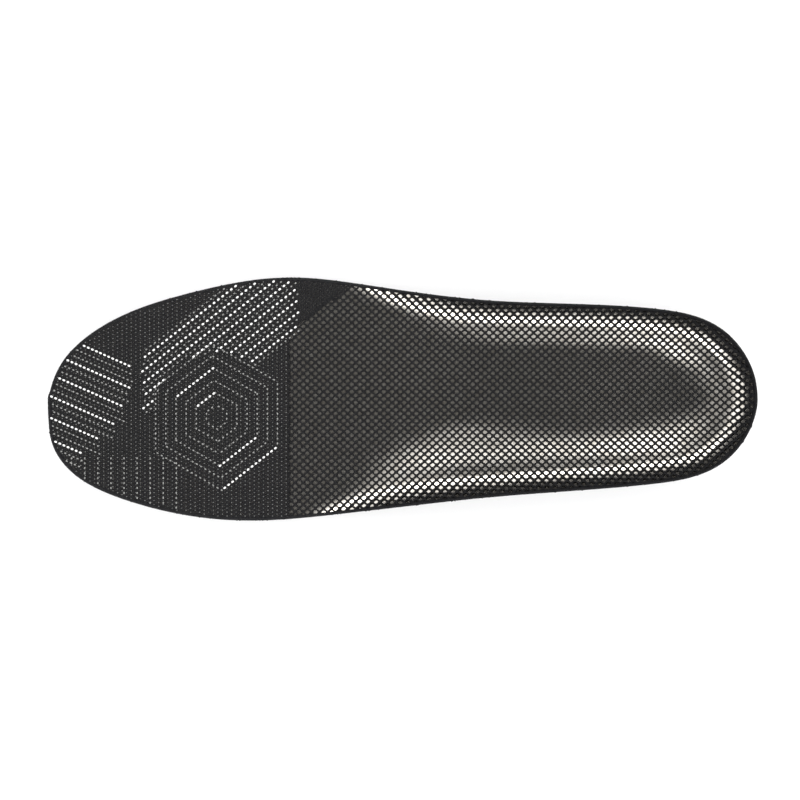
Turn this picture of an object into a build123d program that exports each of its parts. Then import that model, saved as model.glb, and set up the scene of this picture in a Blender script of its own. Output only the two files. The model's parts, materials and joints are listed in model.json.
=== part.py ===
from build123d import *
import math
import os

import numpy as np

# A cushioned insole for a right shoe, in millimetres.
# +X runs from heel to toe, +Y to the inner (medial) side, +Z up; the floor is Z = 0.
# The pieces are layers of the insole's plan between smooth heights of the foot bed,
# and two neighbours share the same heights.

# ---- Overall size -------------------------------------------------------------------
HALF_LENGTH = 135.0
HALF_WIDTH = 46.6
HEADROOM = 45.0  # taller than the highest rim

# Plan outline: toe tip, inner side to the heel, then the outer side back to the toe.
TOE_TIP = (HALF_LENGTH, 4.5)
HEEL_TIP = (-HALF_LENGTH, 0.0)
INNER_SIDE = [
    (127.5, 26.5), (104.0, 39.2), (62.0, HALF_WIDTH), (20.0, 43.6),
    (-30.0, 37.4), (-94.0, 32.2), (-122.0, 24.0),
]
OUTER_SIDE = [
    (-122.0, -26.0), (-94.0, -34.4), (-30.0, -37.6), (10.0, -43.2),
    (44.0, -HALF_WIDTH), (81.0, -40.6), (112.0, -29.2), (127.5, -16.8),
]

# ---- Layer thicknesses --------------------------------------------------------------
CLOTH = 0.8
FILM = 0.15
FOAM = 2.0
SHELL = 1.5
LINING = 0.6
RIM_BELOW_FILM = 6.6  # foam and base together at the rim, measured upright
UNDERCUT_BAND = 14.0  # width over which the underside leaves the floor towards the rim

# ---- Shape of the foot bed ----------------------------------------------------------
FRONT_LEVEL = 4.3  # top of the foam above the floor under the ball of the foot
HEEL_LEVEL = 7.7
BOWL_DEPTH = 1.0
BOWL_CENTRE = (-98.0, -1.0)
BOWL_REACH = (26.0, 18.0)
TOE_SPRING = 2.5
TOE_SPRING_START = 75.0
INNER_FLANK, INNER_SLOPE = 28.0, 0.21  # width and slope of the raised arch flank
INNER_FLANK_LOSS = 6.0  # how much narrower that flank is beside the heel
OUTER_FLANK, OUTER_SLOPE = 15.0, 0.24
HEEL_FLANK, HEEL_SLOPE = 22.0, 0.20
RIM_BAND = 7.0  # width of the steep band inside the rim
ARCH_RIM, OUTER_RIM, HEEL_RIM = 7.0, 5.0, 7.5  # height gained in that band
FLOOR_DIP = 1.0  # how far the underside's surface runs below the floor where it is flat
FLOOR_DIP_FRONT = 0.4

# ---- Flex line across the ball of the foot ------------------------------------------
FLEX_X = 40.0
FLEX_SLANT = 12.3  # degrees; the inner end lies nearer the toe
FLEX_GAP = 0.3

# ---- Inner pieces -------------------------------------------------------------------
SHELL_FRONT = 4.0  # x of the front edge of the stabiliser shell
HEEL_PAD_CENTRE = (-98.0, -1.0)
HEEL_PAD = (42.0, 34.0)
HEEL_PAD_FLOOR, HEEL_PAD_TOP = 2.3, 4.2  # the disc lies between these heights
WINDOW = (34.0, 26.0)
WINDOW_CLEARANCE = 0.5
PAD_RECESS = 0.5  # the pad's face stands this far back from the floor
SLOT_WIDTH = 3.0
SLOTS = [(-48.0, 9.0, 40.0, 4.0), (-46.0, 0.0, 48.0, 0.0), (-48.0, -9.0, 40.0, -4.0)]
FOREFOOT_PAD_CENTRE = (76.0, 2.0)
FOREFOOT_PAD = (48.0, 62.0)

COLUMNS, ROWS = 25, 17  # cross-sections along, and points across each one
TIP_CUT = 0.3  # the first and last cross-sections stand this far inside the tips


def smooth(t):
    """An S-shaped step from 0 to 1."""
    t = np.clip(t, 0.0, 1.0)
    return t * t * (3.0 - 2.0 * t)


def bend(u, radius):
    """0 for negative u and u for positive u, with a rounded corner."""
    return (u + np.sqrt(u * u + radius * radius)) / 2.0


# ---- Plan ---------------------------------------------------------------------------
with BuildLine() as outline:
    Spline(TOE_TIP, *INNER_SIDE, HEEL_TIP, *OUTER_SIDE, periodic=True)


def edge_distance(x, y, samples=1440):
    """Distance from each point to the outline, positive inside it."""
    loop = outline.line.edges()[0]
    corners = np.array([tuple(loop @ (i / samples))[:2] for i in range(samples)])
    ahead = np.roll(corners, -1, axis=0) - corners
    found = np.full(x.shape, np.inf)
    side = np.ones(x.shape)
    for start, along in zip(corners, ahead):
        px, py = x - start[0], y - start[1]
        t = np.clip((px * along[0] + py * along[1]) / (along @ along), 0.0, 1.0)
        away = np.hypot(px - t * along[0], py - t * along[1])
        nearer = away < found
        side = np.where(nearer, np.sign(along[0] * py - along[1] * px), side)
        found = np.where(nearer, away, found)
    return found * side


# ---- Foot bed -----------------------------------------------------------------------
def flank_share(x):
    """How far the raised flanks have grown at x: the inner one, then the outer one."""
    return smooth((44.0 - x) / 60.0), smooth((30.0 - x) / 60.0)


def foot_bed(x, y):
    """Height of the top of the comfort foam above the floor."""
    inward = np.maximum(edge_distance(x, y), -3.0)
    inner = smooth((y + 12.0) / 24.0)  # 1 on the inner side, 0 on the outer side
    at_heel = smooth((-90.0 - x) / 32.0)
    inner_on, outer_on = flank_share(x)
    level = FRONT_LEVEL + (HEEL_LEVEL - FRONT_LEVEL) * smooth((25.0 - x) / 75.0)
    from_centre = ((x - BOWL_CENTRE[0]) / BOWL_REACH[0]) ** 2 + ((y - BOWL_CENTRE[1]) / BOWL_REACH[1]) ** 2
    bowl = BOWL_DEPTH * np.exp(-from_centre)
    toe = TOE_SPRING * (np.maximum(x - TOE_SPRING_START, 0.0) / (HALF_LENGTH - TOE_SPRING_START)) ** 2
    inner_width = INNER_FLANK * inner_on - INNER_FLANK_LOSS * smooth((-25.0 - x) / 50.0)
    width = OUTER_FLANK * outer_on * (1.0 - inner) + inner_width * inner
    width = width * (1.0 - at_heel) + HEEL_FLANK * at_heel
    slope = OUTER_SLOPE * (1.0 - inner) + INNER_SLOPE * inner
    slope = slope * (1.0 - at_heel) + HEEL_SLOPE * at_heel
    share = outer_on * (1.0 - inner) + inner_on * inner
    rim = (OUTER_RIM * (1.0 - inner) + ARCH_RIM * inner) * (1.0 - at_heel) + HEEL_RIM * at_heel
    rim = rim * share * np.maximum(1.0 - inward / RIM_BAND, 0.0) ** 2
    return level - bowl + toe + slope * share * bend(width - inward, 2.0) + rim


# Cross-sections stand closest at the tips, and their points are closest at the sides,
# where the bed turns up.
rim_points = np.array([tuple(outline.line.edges()[0] @ t)[:2] for t in np.linspace(0, 1, 1441)])
inner_edge = rim_points[rim_points[:, 1] > 0]
outer_edge = rim_points[rim_points[:, 1] <= 0]


def half_width(points, x):
    """Distance from the middle line to one side of the outline at x."""
    order = np.argsort(points[:, 0])
    return np.interp(x, points[order, 0], np.abs(points[order, 1]))


along = (HALF_LENGTH - TIP_CUT) * np.sin(np.linspace(-np.pi / 2, np.pi / 2, COLUMNS))
across = np.sin(np.linspace(-np.pi / 2, np.pi / 2, ROWS))
row_share = list((across + 1.0) / 2.0)
X, S = np.meshgrid(along, across, indexing="ij")
middle_line = (half_width(inner_edge, X) - half_width(outer_edge, X)) / 2.0
Y = middle_line + S * (half_width(inner_edge, X) + half_width(outer_edge, X)) / 2.0

foam_top = foot_bed(X, Y)
STEP = 0.5
rise_x = (foot_bed(X + STEP, Y) - foot_bed(X - STEP, Y)) / (2 * STEP)
rise_y = (foot_bed(X, Y + STEP) - foot_bed(X, Y - STEP)) / (2 * STEP)
steepness = np.sqrt(1.0 + rise_x**2 + rise_y**2)

# The underside dips below the floor where the insole lies flat, so the floor cuts it off.
inward = edge_distance(X, Y)
inner = smooth((Y + 12.0) / 24.0)
inner_on, outer_on = flank_share(X)
share = outer_on * (1.0 - inner) + inner_on * inner
dip = FLOOR_DIP_FRONT + (FLOOR_DIP - FLOOR_DIP_FRONT) * smooth((30.0 - X) / 30.0)
middle = FRONT_LEVEL + (HEEL_LEVEL - FRONT_LEVEL) * smooth((25.0 - X) / 75.0) + dip
below = middle + (RIM_BELOW_FILM - middle) * share * (1.0 - smooth(inward / UNDERCUT_BAND))
underside = foam_top - below
ground = bend(underside, 0.8)  # the underside where it has left the floor, else the floor


def across_curve(column, heights):
    """The curve of a height field along one column of points."""
    points = [Vector(y, z) for y, z in zip(Y[column], heights[column])]
    return Edge.make_spline(points, parameters=row_share)


def layer(upper, lower):
    """The slab between two height fields, lofted through its cross-sections."""
    with BuildPart() as slab:
        for column in range(COLUMNS):
            with BuildSketch(Plane.YZ.offset(along[column])):
                with BuildLine():
                    top = across_curve(column, upper)
                    bottom = across_curve(column, lower)
                    add(top)
                    add(bottom)
                    Line(top @ 0, bottom @ 0)
                    Line(top @ 1, bottom @ 1)
                make_face()
        loft()
    return slab.part


film_top = foam_top + FILM * np.minimum(steepness, 1.8)
cloth_top = foam_top + (FILM + CLOTH) * np.minimum(steepness, 1.8)
foam_bottom = foam_top - FOAM * np.minimum(steepness, 1.5)
shell_top = ground + SHELL * np.minimum(steepness, 1.5)
shell_front_plane = Plane(origin=(SHELL_FRONT, 0, 0), z_dir=(1, 0, 0))

flex_forward = Vector(1, 0, 0).rotate(Axis.Z, -FLEX_SLANT)
flex_plane = Plane(origin=(FLEX_X, 0, 0), z_dir=flex_forward)
rear_of_flex = flex_plane.offset(-FLEX_GAP / 2)
front_of_flex = flex_plane.offset(FLEX_GAP / 2)

foam_layer = layer(foam_top, foam_bottom)
front_layer = layer(foam_bottom, ground + LINING)
mid_layer = layer(foam_bottom, underside)
above_shell = layer(foam_bottom, shell_top)

# ---- Cover layers, which run unbroken over the flex line ----------------------------
with BuildPart() as top_cloth:
    add(layer(cloth_top, film_top))

with BuildPart() as reflective_film:
    add(layer(film_top, foam_top))

# ---- Comfort foam, one body each side of the flex line ------------------------------
with BuildPart() as comfort_foam_rear:
    add(foam_layer)
    split(bisect_by=rear_of_flex, keep=Keep.BOTTOM)

with BuildPart() as comfort_foam_front:
    add(foam_layer)
    split(bisect_by=front_of_flex, keep=Keep.TOP)

# ---- Stabiliser shell: a cup round the heel that reaches forward under the arch ------
with BuildPart() as stabiliser_shell:
    add(layer(shell_top, underside))
    split(bisect_by=shell_front_plane, keep=Keep.BOTTOM)
    split(bisect_by=Plane.XY, keep=Keep.TOP)
    with BuildSketch():
        with Locations(HEEL_PAD_CENTRE):
            Ellipse(WINDOW[0] / 2, WINDOW[1] / 2)
        for x, y, length, turn in SLOTS:
            with Locations((x, y)):
                SlotOverall(length, SLOT_WIDTH, rotation=turn)
    extrude(amount=HEEL_PAD_TOP, mode=Mode.SUBTRACT)

# ---- Support base: from the foam down to the shell, or to the floor ahead of it ------
with BuildPart() as midfoot_base:
    add(mid_layer)
    split(bisect_by=shell_front_plane, keep=Keep.TOP)
    split(bisect_by=rear_of_flex, keep=Keep.BOTTOM)
    split(bisect_by=Plane.XY, keep=Keep.TOP)

with BuildPart() as support_base:
    add(above_shell)
    split(bisect_by=shell_front_plane, keep=Keep.BOTTOM)
    with BuildSketch():
        with Locations(HEEL_PAD_CENTRE):
            Ellipse(HEEL_PAD[0] / 2, HEEL_PAD[1] / 2)
    extrude(amount=HEEL_PAD_TOP, mode=Mode.SUBTRACT)
    add(midfoot_base.part)

# ---- Heel pad: a disc on the shell with a boss that shows in its window --------------
with BuildPart() as heel_pad:
    with BuildSketch(Plane.XY.offset(HEEL_PAD_FLOOR)):
        with Locations(HEEL_PAD_CENTRE):
            Ellipse(HEEL_PAD[0] / 2, HEEL_PAD[1] / 2)
    extrude(amount=HEEL_PAD_TOP - HEEL_PAD_FLOOR)
    with BuildSketch(Plane.XY.offset(PAD_RECESS)):
        with Locations(HEEL_PAD_CENTRE):
            Ellipse(WINDOW[0] / 2 - WINDOW_CLEARANCE, WINDOW[1] / 2 - WINDOW_CLEARANCE)
    extrude(amount=HEEL_PAD_TOP - PAD_RECESS)

# ---- Forefoot: base with a cushion pad let into it, and a grip lining below ----------
with BuildPart() as grip_lining:
    add(layer(ground + LINING, underside))
    split(bisect_by=front_of_flex, keep=Keep.TOP)
    split(bisect_by=Plane.XY, keep=Keep.TOP)

with BuildPart() as forefoot_pad:
    with BuildSketch():
        with Locations(FOREFOOT_PAD_CENTRE):
            Ellipse(FOREFOOT_PAD[0] / 2, FOREFOOT_PAD[1] / 2, rotation=-FLEX_SLANT)
    extrude(amount=HEADROOM)
    add(front_layer, mode=Mode.INTERSECT)

with BuildPart() as forefoot_base:
    add(front_layer)
    split(bisect_by=front_of_flex, keep=Keep.TOP)
    with BuildSketch():
        with Locations(FOREFOOT_PAD_CENTRE):
            Ellipse(FOREFOOT_PAD[0] / 2, FOREFOOT_PAD[1] / 2, rotation=-FLEX_SLANT)
    extrude(amount=HEADROOM, mode=Mode.SUBTRACT)

# ---- Export -------------------------------------------------------------------------
os.makedirs("parts", exist_ok=True)
pieces = {
    "top_cloth": top_cloth,
    "reflective_film": reflective_film,
    "comfort_foam_rear": comfort_foam_rear,
    "comfort_foam_front": comfort_foam_front,
    "support_base": support_base,
    "stabiliser_shell": stabiliser_shell,
    "heel_pad": heel_pad,
    "forefoot_base": forefoot_base,
    "forefoot_pad": forefoot_pad,
    "grip_lining": grip_lining,
}
for name, piece in pieces.items():
    piece.part.label = name
    export_step(piece.part, f"parts/{name}.step")
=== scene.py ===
import json
import math

import bpy
import numpy as np
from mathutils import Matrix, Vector
from mathutils.bvhtree import BVHTree


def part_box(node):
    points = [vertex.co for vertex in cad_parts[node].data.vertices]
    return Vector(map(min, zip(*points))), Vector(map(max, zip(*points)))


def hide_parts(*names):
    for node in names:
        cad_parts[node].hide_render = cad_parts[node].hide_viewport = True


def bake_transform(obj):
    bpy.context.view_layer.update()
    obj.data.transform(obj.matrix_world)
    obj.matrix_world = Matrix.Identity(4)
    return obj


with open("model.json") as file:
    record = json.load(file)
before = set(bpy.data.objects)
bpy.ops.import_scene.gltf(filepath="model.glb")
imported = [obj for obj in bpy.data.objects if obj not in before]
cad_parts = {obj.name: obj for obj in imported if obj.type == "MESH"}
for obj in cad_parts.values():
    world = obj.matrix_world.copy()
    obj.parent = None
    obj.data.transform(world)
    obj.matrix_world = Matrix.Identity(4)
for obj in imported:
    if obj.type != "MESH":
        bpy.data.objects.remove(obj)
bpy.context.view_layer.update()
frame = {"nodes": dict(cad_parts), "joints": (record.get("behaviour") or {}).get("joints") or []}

MM = 0.001

# ---- Driving sizes, in metres --------------------------------------------------------
MESH_PITCH = (3.1 * MM, 2.8 * MM)  # hole to hole along and across, open mesh
MESH_HOLE = (0.98 * MM, 0.84 * MM)  # half length and half width of a hole
KNIT_PITCH = (1.75 * MM, 1.5 * MM)  # the same for the fine knit of the forefoot
KNIT_HOLE = (0.40 * MM, 0.34 * MM)
KNIT_START = 43 * MM  # where the fine knit takes over from the open mesh
KNIT_STRAIGHT, KNIT_SLOPE = 26 * MM, 1.4  # past this far to the outer side its start slopes back
KNIT_OVERLAP = 0.6 * MM
HOLE_MARGIN = 0.2 * MM  # a hole's centre stands at least this far inside the outline
YARN_TOP, YARN_SIDE = 0.90, 0.62  # heights of the yarn's crest and of a hole's rim in the cloth
NET_THICK = 0.4 * MM
NET_MARGIN = 0.35 * MM  # the net ends this far inside the outline
EDGE_BAND = 1.1 * MM  # width of the closed edge round the cloth
EDGE_PROFILE = (  # round the edge: distance inside the outline, and height from foil 0 to cloth top 1
    (EDGE_BAND, 0.75), (EDGE_BAND * 0.55, 1.0), (0.1 * MM, 0.85), (-0.15 * MM, 0.2), (0.3 * MM, -0.6),
)
STITCH = (0.62 * MM, 0.42 * MM, 0.26 * MM)  # half length, width and height of a stitch
DIM_SHARE = 0.72  # size of a dim stitch against a bright one
YARN_DOT = (0.30 * MM, 0.22 * MM, 0.12 * MM)
FOIL_INSET = 0.4 * MM  # the foil ends this far inside the outline
FOAM_ROUND, BASE_ROUND = 0.12 * MM, 0.15 * MM  # rounding of the foams' edges
LINING_AHEAD = 20 * MM  # the lining starts this far ahead of its solid's slanted rear end
GRID_LONG, GRID_WIDE = 260, 72  # resolution of the smooth layers
RAY_START = 0.1  # rays start this far above or below the floor
WIDEST = 0.06  # the outline is looked for within this distance of the middle line
NEAR_RIM = 0.994  # the outermost heights are read at this share of the way to the rim
STITCHES_EACH_WAY = 90  # tried along a row, from its middle
REACH = 0.5 * MM  # how far inside its tips the outline is still read from the frame
TIP = 0.28 * MM  # how far the rounded tips stand out beyond the frame's cut ends


# ---- The foot bed, read from the frame -----------------------------------------------
def tree(*names):
    """One ray-casting tree over several CAD nodes."""
    points, faces = [], []
    for name in names:
        mesh = frame["nodes"][name].data
        first = len(points)
        points += [v.co.copy() for v in mesh.vertices]
        faces += [[first + i for i in p.vertices] for p in mesh.polygons]
    return BVHTree.FromPolygons(points, faces)


def hit(target, x, y, down=True):
    """Height of the first surface met from above, or from below."""
    start = Vector((x, y, RAY_START if down else -RAY_START))
    place = target.ray_cast(start, Vector((0, 0, -1 if down else 1)))[0]
    return None if place is None else place.z


low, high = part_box("top_cloth")
cover = tree("top_cloth")


def edge(x, side):
    """Distance from the middle line to the outline on one side, at x."""
    inside, outside = 0.0, WIDEST
    for _ in range(16):
        middle = (inside + outside) / 2
        if hit(cover, x, side * middle) is None:
            outside = middle
        else:
            inside = middle
    return inside


TIP_END = high.x + TIP
LONG = TIP_END * np.sin(np.linspace(-np.pi / 2, np.pi / 2, GRID_LONG))
WIDE = np.sin(np.linspace(-np.pi / 2, np.pi / 2, GRID_WIDE))


def rounded(side):
    """Half widths along the insole on one side, closed to a rounded tip at each end."""
    last = high.x - REACH
    read = np.array([edge(float(np.clip(x, -last, last)), side) for x in LONG])
    closing = np.sqrt(np.clip((TIP_END - np.abs(LONG)) / (TIP_END - last), 0, 1))
    return np.maximum(read * closing, 0.1 * MM)


inner_side, outer_side = rounded(1), rounded(-1)


def fill_gaps(column):
    """A column of heights with the misses filled from their neighbours."""
    known = ~np.isnan(column)
    if not known.any():
        return column
    places = np.arange(len(column))
    return np.interp(places, places[known], column[known])


def heights(target, down=True):
    """Heights of a surface over the whole plan, with misses filled in and facets smoothed."""
    rows = np.full((GRID_LONG, GRID_WIDE), np.nan)
    for i, x in enumerate(LONG):
        for j, s in enumerate(WIDE * NEAR_RIM):
            y = (inner_side[i] if s > 0 else outer_side[i]) * s
            z = hit(target, x, y, down)
            if z is not None:
                rows[i, j] = z
    rows = np.array([fill_gaps(r) for r in rows])
    rows = np.array([fill_gaps(c) for c in rows.T]).T
    for _ in range(3):
        middle = (rows[:-2] + 2 * rows[1:-1] + rows[2:]) / 4
        rows = np.vstack([rows[:1], middle, rows[-1:]])
    return rows


cloth_top = heights(cover)
cloth_under = heights(tree("reflective_film"))
foam_top = heights(tree("comfort_foam_rear", "comfort_foam_front"))
foam_bottom = heights(tree("comfort_foam_rear", "comfort_foam_front"), down=False)
base_bottom = heights(tree("support_base", "forefoot_base"), down=False)
lining_bottom = heights(tree("grip_lining"), down=False)


def sample(rows, x, y):
    """A layer's height at any place of the plan."""
    x = float(np.clip(x, LONG[0], LONG[-1]))
    i = int(np.clip(np.searchsorted(LONG, x) - 1, 0, GRID_LONG - 2))
    t = (x - LONG[i]) / (LONG[i + 1] - LONG[i])
    reach = np.interp(x, LONG, inner_side if y > 0 else outer_side)
    s = float(np.clip(y / max(reach, 1e-6), -1, 1))
    j = int(np.clip(np.searchsorted(WIDE, s) - 1, 0, GRID_WIDE - 2))
    u = (s - WIDE[j]) / (WIDE[j + 1] - WIDE[j])
    near = rows[i, j] * (1 - u) + rows[i, j + 1] * u
    far = rows[i + 1, j] * (1 - u) + rows[i + 1, j + 1] * u
    return near * (1 - t) + far * t


def on_cloth(x, y, share):
    """A height inside the cloth: 0 at the foil, 1 at the top of the cloth."""
    under = sample(cloth_under, x, y)
    return under + share * (sample(cloth_top, x, y) - under)


inner_rim = list(zip(LONG, inner_side))
outer_rim = list(zip(LONG[::-1], -outer_side[::-1]))
outline = np.array(inner_rim + outer_rim)
tangent = np.roll(outline, -1, axis=0) - np.roll(outline, 1, axis=0)
outwards = np.stack([-tangent[:, 1], tangent[:, 0]], axis=1)
outwards /= np.linalg.norm(outwards, axis=1)[:, None]


def pulled_in(x, y, margin):
    """The point itself, or the nearest one that stands a margin inside the outline."""
    if inward(x, y) >= margin:
        return x, y
    nearest = np.hypot(outline[:, 0] - x, outline[:, 1] - y).argmin()
    return tuple(outline[nearest] - outwards[nearest] * margin)


def inward(x, y):
    """Distance inside the outline, negative outside it."""
    reach = np.interp(x, LONG, inner_side if y > 0 else outer_side)
    away = np.hypot(outline[:, 0] - x, outline[:, 1] - y).min()
    return away if abs(y) < reach and abs(x) < TIP_END else -away


# ---- Materials -----------------------------------------------------------------------
def material(name, colour, roughness, metallic=0.0, sheen=0.0, coat=0.0, specular=0.4):
    """A material with a principled shader, and its nodes for further work."""
    made = bpy.data.materials.new(name)
    made.use_nodes = True
    shader = made.node_tree.nodes["Principled BSDF"]
    shader.inputs["Base Color"].default_value = (*colour, 1)
    shader.inputs["Roughness"].default_value = roughness
    shader.inputs["Metallic"].default_value = metallic
    shader.inputs["Sheen Weight"].default_value = sheen
    shader.inputs["Coat Weight"].default_value = coat
    shader.inputs["Specular IOR Level"].default_value = specular
    return made


def mottle(made, scale, dark, light, bump, distance, detail=6.0):
    """Adds colour variation and a bump to a material, both from one noise."""
    nodes, links = made.node_tree.nodes, made.node_tree.links
    shader = nodes["Principled BSDF"]
    place = nodes.new("ShaderNodeTexCoord")
    noise = nodes.new("ShaderNodeTexNoise")
    noise.inputs["Scale"].default_value = scale
    noise.inputs["Detail"].default_value = detail
    ramp = nodes.new("ShaderNodeValToRGB")
    ramp.color_ramp.elements[0].position = 0.35
    ramp.color_ramp.elements[0].color = (*dark, 1)
    ramp.color_ramp.elements[1].position = 0.68
    ramp.color_ramp.elements[1].color = (*light, 1)
    raised = nodes.new("ShaderNodeBump")
    raised.inputs["Strength"].default_value = bump
    raised.inputs["Distance"].default_value = distance
    links.new(place.outputs["Object"], noise.inputs["Vector"])
    links.new(noise.outputs["Fac"], ramp.inputs["Fac"])
    links.new(ramp.outputs["Color"], shader.inputs["Base Color"])
    links.new(noise.outputs["Fac"], raised.inputs["Height"])
    links.new(raised.outputs["Normal"], shader.inputs["Normal"])
    return made


def twill(made, turn, scale, bump, distance):
    """Adds fine slanted yarn ribs to a material, on top of its own bump."""
    nodes, links = made.node_tree.nodes, made.node_tree.links
    place = nodes["Texture Coordinate"]
    turned = nodes.new("ShaderNodeMapping")
    turned.inputs["Rotation"].default_value = (0, 0, turn)
    wave = nodes.new("ShaderNodeTexWave")
    wave.inputs["Scale"].default_value = scale
    wave.inputs["Distortion"].default_value = 1.5
    wave.inputs["Detail"].default_value = 2.0
    raised = nodes.new("ShaderNodeBump")
    raised.inputs["Strength"].default_value = bump
    raised.inputs["Distance"].default_value = distance
    links.new(place.outputs["Object"], turned.inputs["Vector"])
    links.new(turned.outputs["Vector"], wave.inputs["Vector"])
    links.new(wave.outputs["Fac"], raised.inputs["Height"])
    links.new(nodes["Bump"].outputs["Normal"], raised.inputs["Normal"])
    links.new(raised.outputs["Normal"], nodes["Principled BSDF"].inputs["Normal"])
    return made


cloth = material("black_cloth", (0.009, 0.009, 0.010), 0.6, specular=0.12)
mottle(cloth, 1800, (0.005, 0.005, 0.006), (0.015, 0.015, 0.016), 0.25, 0.1 * MM)
twill(cloth, 0.7, 900, 0.3, 0.08 * MM)
foil = material("warm_foil", (0.80, 0.765, 0.70), 0.24, metallic=1.0, specular=0.5)
mottle(foil, 260, (0.66, 0.62, 0.555), (0.86, 0.83, 0.77), 0.10, 0.15 * MM)
thread = material("silver_thread", (0.86, 0.86, 0.85), 0.42, sheen=0.2)
mottle(thread, 2600, (0.68, 0.68, 0.67), (0.95, 0.95, 0.94), 0.3, 0.1 * MM)
dim_thread = material("grey_thread", (0.22, 0.22, 0.21), 0.5, sheen=0.15)
mottle(dim_thread, 2600, (0.13, 0.13, 0.125), (0.34, 0.34, 0.33), 0.3, 0.1 * MM)
faint_thread = material("faint_thread", (0.09, 0.09, 0.088), 0.5, sheen=0.1)
mottle(faint_thread, 420, (0.035, 0.035, 0.034), (0.17, 0.17, 0.165), 0.3, 0.1 * MM)
soft_foam = material("comfort_foam", (0.07, 0.07, 0.075), 0.85)
mottle(soft_foam, 2200, (0.045, 0.045, 0.05), (0.10, 0.10, 0.105), 0.5, 0.15 * MM)
firm_foam = material("base_foam", (0.028, 0.028, 0.03), 0.7)
mottle(firm_foam, 1300, (0.018, 0.018, 0.02), (0.045, 0.045, 0.048), 0.4, 0.12 * MM)
nylon = material("shell_nylon", (0.05, 0.052, 0.056), 0.36, coat=0.15)
mottle(nylon, 3200, (0.042, 0.044, 0.048), (0.060, 0.062, 0.066), 0.15, 0.05 * MM)
gel = material("heel_gel", (0.20, 0.22, 0.25), 0.28, coat=0.4)
mottle(gel, 500, (0.16, 0.18, 0.21), (0.25, 0.27, 0.30), 0.2, 0.2 * MM)
lining_cloth = material("grip_lining", (0.03, 0.03, 0.032), 0.9, sheen=0.3)
mottle(lining_cloth, 1500, (0.018, 0.018, 0.02), (0.05, 0.05, 0.052), 0.5, 0.12 * MM)
twill(lining_cloth, -0.8, 620, 0.5, 0.15 * MM)


# ---- Making pieces -------------------------------------------------------------------
def piece(name, points, faces, made, smooth=True):
    """A mesh object with one material."""
    mesh = bpy.data.meshes.new(name)
    mesh.from_pydata([tuple(p) for p in points], [], faces)
    mesh.validate()
    mesh.update()
    mesh.materials.append(made)
    mesh.polygons.foreach_set("use_smooth", [smooth] * len(mesh.polygons))
    obj = bpy.data.objects.new(name, mesh)
    bpy.context.scene.collection.objects.link(obj)
    return obj


def flex_point():
    """Where the flex line crosses the middle, and the direction towards the toe."""
    joint = next(j for j in frame["joints"] if j["name"] == "toe_flex")
    axis = Vector(joint["axis"]).normalized()
    return Vector(joint["pos_m"]), axis.cross(Vector((0, 0, -1))).normalized()


FLEX, FORWARD = flex_point()
if FORWARD.x < 0:
    FORWARD = -FORWARD


def flexes(obj):
    """Bakes the piece's placement into its mesh."""
    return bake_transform(obj)


def slab(name, upper, lower, made, start=-1.0, inset=0.0, round_over=0.0):
    """A closed layer between two heights, from start along the insole to the toe."""
    columns = [i for i, x in enumerate(LONG) if x >= start]
    points, faces = [], []
    for rows, lift in ((upper, -round_over), (lower, round_over)):
        for i in columns:
            for j, s in enumerate(WIDE):
                side = inner_side[i] if s > 0 else outer_side[i]
                x = LONG[i] * (1 - inset / TIP_END)
                y = s * max(side - inset, 0.3 * MM)
                last = j in (0, GRID_WIDE - 1)
                z = sample(rows, x, y) if inset else rows[i, j]
                points.append((x, y, z + (lift if last else 0)))
    n, m = len(columns), GRID_WIDE
    for a in range(n - 1):
        for b in range(m - 1):
            k = a * m + b
            faces.append((k, k + m, k + m + 1, k + 1))
            faces.append((n * m + k, n * m + k + 1, n * m + k + m + 1, n * m + k + m))
    ring = [a * m for a in range(n)] + [(n - 1) * m + b for b in range(1, m)]
    ring += [a * m + m - 1 for a in range(n - 2, -1, -1)] + [b for b in range(m - 2, 0, -1)]
    for a, b in zip(ring, ring[1:] + ring[:1]):
        faces.append((b, a, n * m + a, n * m + b))
    return piece(name, points, faces, made)


def netting(name, pitch, hole, inside, made, corners):
    """An open lattice of staggered holes over the foot bed, with raised yarn between them."""
    points, faces, seen = [], [], {}

    def corner(x, y, share):
        key = (round(x / (0.02 * MM)), round(y / (0.02 * MM)), share)
        if key not in seen:
            seen[key] = len(points)
            x, y = pulled_in(x, y, NET_MARGIN)
            points.append((x, y, on_cloth(x, y, share)))
        return seen[key]

    turns = np.arange(corners) * 2 * math.pi / corners
    rows = int(high.y / pitch[1]) + 1
    for column in range(int(low.x / pitch[0] * 2) - 1, int(high.x / pitch[0] * 2) + 2):
        x = column * pitch[0] / 2
        for row in range(-rows, rows + 1):
            y = (row + (column % 2) / 2) * pitch[1]
            if abs(y) > high.y or not inside(x, y):
                continue
            outer, inner = [], []
            for t in turns:
                c, s = math.cos(t), math.sin(t)
                reach = 1 / (abs(c) + abs(s))
                outer.append(corner(x + pitch[0] / 2 * c * reach, y + pitch[1] / 2 * s * reach, YARN_TOP))
                blunt = (1 + reach) / 2
                inner.append(corner(x + hole[0] * c * blunt, y + hole[1] * s * blunt, YARN_SIDE))
            for a in range(corners):
                b = (a + 1) % corners
                faces.append((outer[a], outer[b], inner[b], inner[a]))
    obj = piece(name, points, faces, made)
    thick = obj.modifiers.new("thick", "SOLIDIFY")
    thick.thickness = NET_THICK
    thick.offset = -1
    bpy.context.view_layer.update()
    solid = bpy.data.meshes.new_from_object(obj.evaluated_get(bpy.context.evaluated_depsgraph_get()))
    obj.modifiers.clear()
    obj.data = solid
    return obj


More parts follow.
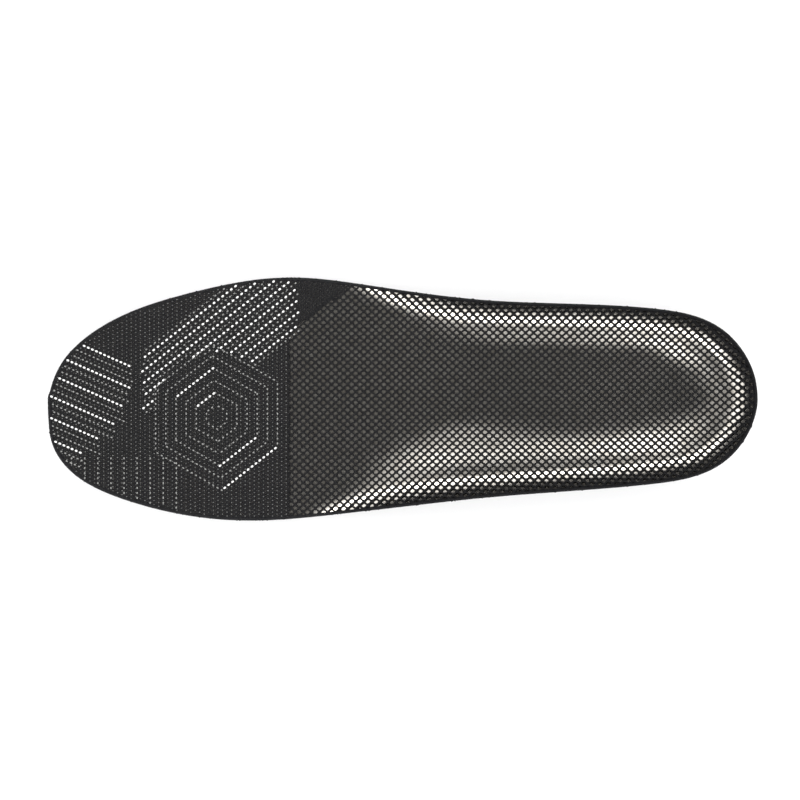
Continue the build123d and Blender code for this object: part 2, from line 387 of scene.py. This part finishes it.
def edge_band():
    """The closed, pressed edge of the cloth, from a line inside the rim down to the foam."""
    count = len(outline)
    steps = EDGE_PROFILE
    points, faces = [], []
    for place, normal in zip(outline, outwards):
        for back, share in steps:
            x, y = place - normal * back
            points.append((x, y, on_cloth(x, y, share)))
    wide = len(steps)
    for a in range(count):
        b = (a + 1) % count
        for k in range(wide):
            n = (k + 1) % wide
            faces.append((a * wide + k, b * wide + k, b * wide + n, a * wide + n))
    return piece("cover_edge", points, faces, cloth)


# ---- Stitch pattern of the forefoot --------------------------------------------------
TOE_ANGLE, SIDE_ANGLE = math.radians(24), math.radians(38)  # slant of the rows
TOE_ROWS, TOE_FIRST, TOE_APART = 6, 30.7 * MM, 7.6 * MM  # bright rows, each with two dim ones after it
TOE_START, TOE_CURVE = 103 * MM, 0.75 * MM  # where the first toe row begins, and how later ones draw back
TOE_SPACING = 1.7 * MM  # stitch to stitch along a row
SIDE_ROWS, SIDE_FIRST, SIDE_APART = 17, 44.6 * MM, 1.9 * MM
SIDE_END, SIDE_TOP = 99 * MM, 6 * MM  # the outer rows stop here, towards the toe and the inner side
SIDE_SPACING = 2.1 * MM
HEX_CENTRE = (70.5 * MM, 6.9 * MM)
HEX_REACH = 24.5 * MM  # the outer rows keep this far from the centre of the hexagons
HEX_RINGS, HEX_APART, HEX_SPACING = 6, 3.9 * MM, 1.9 * MM
HEX_TURNS = np.radians([-52, 0, 60, 128, 180, 240])  # directions of the six sides
HEX_BRIGHT = {(0, 2), (0, 4), (3, 4), (3, 6)}  # side and ring of the bright stretches
INNER_ROWS, INNER_FIRST, INNER_APART = 9, 86 * MM, 5 * MM  # dim rows straight across, at the inner side
INNER_FROM = 22 * MM
PATTERN_BEHIND = 4 * MM  # how far the pattern runs back over the open mesh


def row_of(offset, normal, spacing, keep):
    """Stitches along one straight row: the line at an offset along its normal."""
    along = (-normal[1], normal[0])
    for k in range(-STITCHES_EACH_WAY, STITCHES_EACH_WAY + 1):
        x = offset * normal[0] + along[0] * k * spacing
        y = offset * normal[1] + along[1] * k * spacing
        if x > KNIT_START - PATTERN_BEHIND and inward(x, y) > EDGE_BAND and keep(x, y):
            yield x, y, math.atan2(along[1], along[0])


def stitches():
    """Every stitch as x, y, direction and whether it is bright."""
    toe = (math.sin(TOE_ANGLE), math.cos(TOE_ANGLE))
    side = (math.sin(SIDE_ANGLE), -math.cos(SIDE_ANGLE))
    for k in range(TOE_ROWS):
        limit = TOE_START + TOE_CURVE * k * k
        for third in range(3):
            offset = TOE_FIRST + TOE_APART * (k + third / 3)
            for spot in row_of(offset, toe, TOE_SPACING, lambda x, y: x > limit):
                yield (*spot, third == 0)

    def beyond_hexagons(x, y):
        away = math.hypot(x - HEX_CENTRE[0], y - HEX_CENTRE[1])
        return x < SIDE_END and y < SIDE_TOP and away > HEX_REACH

    for k in range(SIDE_ROWS):
        for spot in row_of(SIDE_FIRST + SIDE_APART * k, side, SIDE_SPACING, beyond_hexagons):
            yield (*spot, k % 2 == 1)
    normals = [(math.cos(a), math.sin(a)) for a in HEX_TURNS]
    for ring in range(1, HEX_RINGS + 1):
        size = HEX_APART * ring
        for which, normal in enumerate(normals):
            def on_side(x, y):
                near = (x - HEX_CENTRE[0], y - HEX_CENTRE[1])
                return max(near[0] * n[0] + near[1] * n[1] for n in normals) < size + 0.05 * MM
            offset = HEX_CENTRE[0] * normal[0] + HEX_CENTRE[1] * normal[1] + size
            for spot in row_of(offset, normal, HEX_SPACING, on_side):
                yield (*spot, (which, ring) in HEX_BRIGHT)
    for k in range(INNER_ROWS):
        offset = INNER_FIRST + INNER_APART * k
        for spot in row_of(offset, (1.0, 0.0), HEX_SPACING, lambda x, y: y > INNER_FROM):
            yield (*spot, False)


def knit_spots():
    """A faint stitch between the holes of the fine knit."""
    rows = int(high.y / KNIT_PITCH[1]) + 1
    for column in range(math.ceil(KNIT_START / KNIT_PITCH[0]), int(high.x / KNIT_PITCH[0]) + 1):
        for row in range(-rows, rows + 1):
            x, y = column * KNIT_PITCH[0], (row + column % 2 / 2) * KNIT_PITCH[1]
            if abs(y) < high.y and inward(x, y) > EDGE_BAND:
                yield x, y, 0.0


def beads(name, spots, size, made, around=8):
    """Small flattened stitches lying on the cloth."""
    points, faces = [], []
    for x, y, turn in spots:
        z = on_cloth(x, y, YARN_TOP)
        c, s = math.cos(turn), math.sin(turn)
        first = len(points)
        for share, rise in ((1.0, -0.3), (0.86, 0.45), (0.5, 0.85)):
            for k in range(around):
                a = 2 * math.pi * k / around
                u, v = size[0] * share * math.cos(a), size[1] * share * math.sin(a)
                points.append((x + u * c - v * s, y + u * s + v * c, z + size[2] * rise))
        points.append((x, y, z + size[2]))
        for ring in range(2):
            for k in range(around):
                a, b = first + ring * around + k, first + ring * around + (k + 1) % around
                faces.append((a, b, b + around, a + around))
        top = first + 2 * around
        for k in range(around):
            faces.append((top + k, top + (k + 1) % around, first + 3 * around))
        faces.append(tuple(first + k for k in range(around - 1, -1, -1)))
    return piece(name, points, faces, made)


# ---- The pieces ----------------------------------------------------------------------
def knit_start(y):
    """Where the fine knit begins: further back beside the outer edge."""
    return KNIT_START - KNIT_SLOPE * max(-y - KNIT_STRAIGHT, 0)


def is_mesh(x, y):
    """Whether a hole of the open mesh belongs here."""
    return x < knit_start(y) and inward(x, y) > HOLE_MARGIN


def is_knit(x, y):
    """Whether a hole of the fine knit belongs here, with a slight overlap on the mesh."""
    return x >= knit_start(y) - KNIT_OVERLAP and inward(x, y) > HOLE_MARGIN


open_mesh = netting("open_mesh_cover", MESH_PITCH, MESH_HOLE, is_mesh, cloth, 8)
fine_knit = netting("forefoot_knit", KNIT_PITCH, KNIT_HOLE, is_knit, cloth, 4)
band = edge_band()
spots = list(stitches())
bright_stitches = beads("bright_stitches", [s[:3] for s in spots if s[3]], STITCH, thread)
dim_size = tuple(DIM_SHARE * v for v in STITCH)
dim_stitches = beads("dim_stitches", [s[:3] for s in spots if not s[3]], dim_size, dim_thread)
yarn_dots = beads("knit_dots", knit_spots(), YARN_DOT, faint_thread, around=5)
foil_sheet = slab("foil_layer", cloth_under, foam_top, foil, inset=FOIL_INSET)
foam = slab("comfort_foam_layer", foam_top, foam_bottom, soft_foam, round_over=FOAM_ROUND)
base = slab("base_foam", foam_bottom, base_bottom, firm_foam, round_over=BASE_ROUND)
lining_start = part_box("grip_lining")[0].x + LINING_AHEAD
lining = slab("grip_lining_cloth", base_bottom, lining_bottom, lining_cloth, start=lining_start)
pad_mesh = frame["nodes"]["forefoot_pad"].data.copy()
pad = bpy.data.objects.new("forefoot_cushion", pad_mesh)
bpy.context.scene.collection.objects.link(pad)
pad_mesh.materials.clear()
pad_mesh.materials.append(gel)

for obj, slot_name in (
    (open_mesh, "cover_cloth"), (fine_knit, "cover_cloth"), (band, "cover_cloth"),
    (bright_stitches, "cover_cloth"), (dim_stitches, "cover_cloth"), (yarn_dots, "cover_cloth"),
    (foil_sheet, "reflective_foil"),
    (foam, "comfort_foam"), (base, "base_foam"), (lining, "lining_cloth"), (pad, "gel"),
):
    flexes(obj)

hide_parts("top_cloth")
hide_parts("top_cloth")
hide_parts("reflective_film")
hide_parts("comfort_foam_rear", "comfort_foam_front")
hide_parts("support_base", "forefoot_base")
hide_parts("grip_lining")
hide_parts("forefoot_pad")


for node, made in (("stabiliser_shell", nylon), ("heel_pad", gel)):
    mesh = frame["nodes"][node].data
    mesh.materials.clear()
    mesh.materials.append(made)

# ---- Floor, light and camera ---------------------------------------------------------
floor = piece(
    "floor", [(-3, -3, 0), (3, -3, 0), (3, 3, 0), (-3, 3, 0)], [(0, 1, 2, 3)],
    material("pale_floor", (0.93, 0.93, 0.93), 0.9), smooth=False,
)
floor.location.z = -0.02 * MM

SKY_WHITE, SKY_DARK = 0.83, 0.965  # white up to the first height, dark straight above from the second
SKY_STRENGTH = 1.35
world = bpy.data.worlds.new("studio")
bpy.context.scene.world = world
world.use_nodes = True
sky, sky_links = world.node_tree.nodes, world.node_tree.links
direction = sky.new("ShaderNodeTexCoord")
split_up = sky.new("ShaderNodeSeparateXYZ")
shade = sky.new("ShaderNodeValToRGB")
shade.color_ramp.elements[0].position = SKY_WHITE
shade.color_ramp.elements[0].color = (1.0, 1.0, 1.0, 1)
shade.color_ramp.elements[1].position = SKY_DARK
shade.color_ramp.elements[1].color = (0.006, 0.006, 0.006, 1)
sky_links.new(direction.outputs["Generated"], split_up.inputs["Vector"])
sky_links.new(split_up.outputs["Z"], shade.inputs["Fac"])
sky_links.new(shade.outputs["Color"], sky["Background"].inputs["Color"])
sky["Background"].inputs["Strength"].default_value = SKY_STRENGTH


def area_light(name, place, size, watts):
    """A large soft light aimed at the insole."""
    lamp = bpy.data.lights.new(name, "AREA")
    lamp.shape = "RECTANGLE"
    lamp.size, lamp.size_y = size
    lamp.energy = watts
    obj = bpy.data.objects.new(name, lamp)
    obj.location = place
    obj.rotation_euler = (-Vector(place)).to_track_quat("-Z", "Y").to_euler()
    bpy.context.scene.collection.objects.link(obj)


area_light("outer_light", (0.0, -0.80, 0.95), (1.4, 0.5), 9)
area_light("inner_light", (0.0, 0.80, 0.95), (1.4, 0.5), 9)

VIEW_WIDTH = 0.3065  # what the camera takes in along the insole's length
LENS, SENSOR = 100, 36  # in millimetres
CAMERA_Y, FOCUS_HEIGHT = 0.4 * MM, 8 * MM
camera_data = bpy.data.cameras.new("camera")
camera_data.lens = LENS
camera_data.sensor_width = SENSOR
camera = bpy.data.objects.new("camera", camera_data)
camera.location = (0.0, CAMERA_Y, VIEW_WIDTH * LENS / SENSOR + FOCUS_HEIGHT)
camera.rotation_euler = (0, 0, math.pi)
bpy.context.scene.collection.objects.link(camera)
bpy.context.scene.camera = camera
bpy.context.scene.view_settings.view_transform = "Standard"
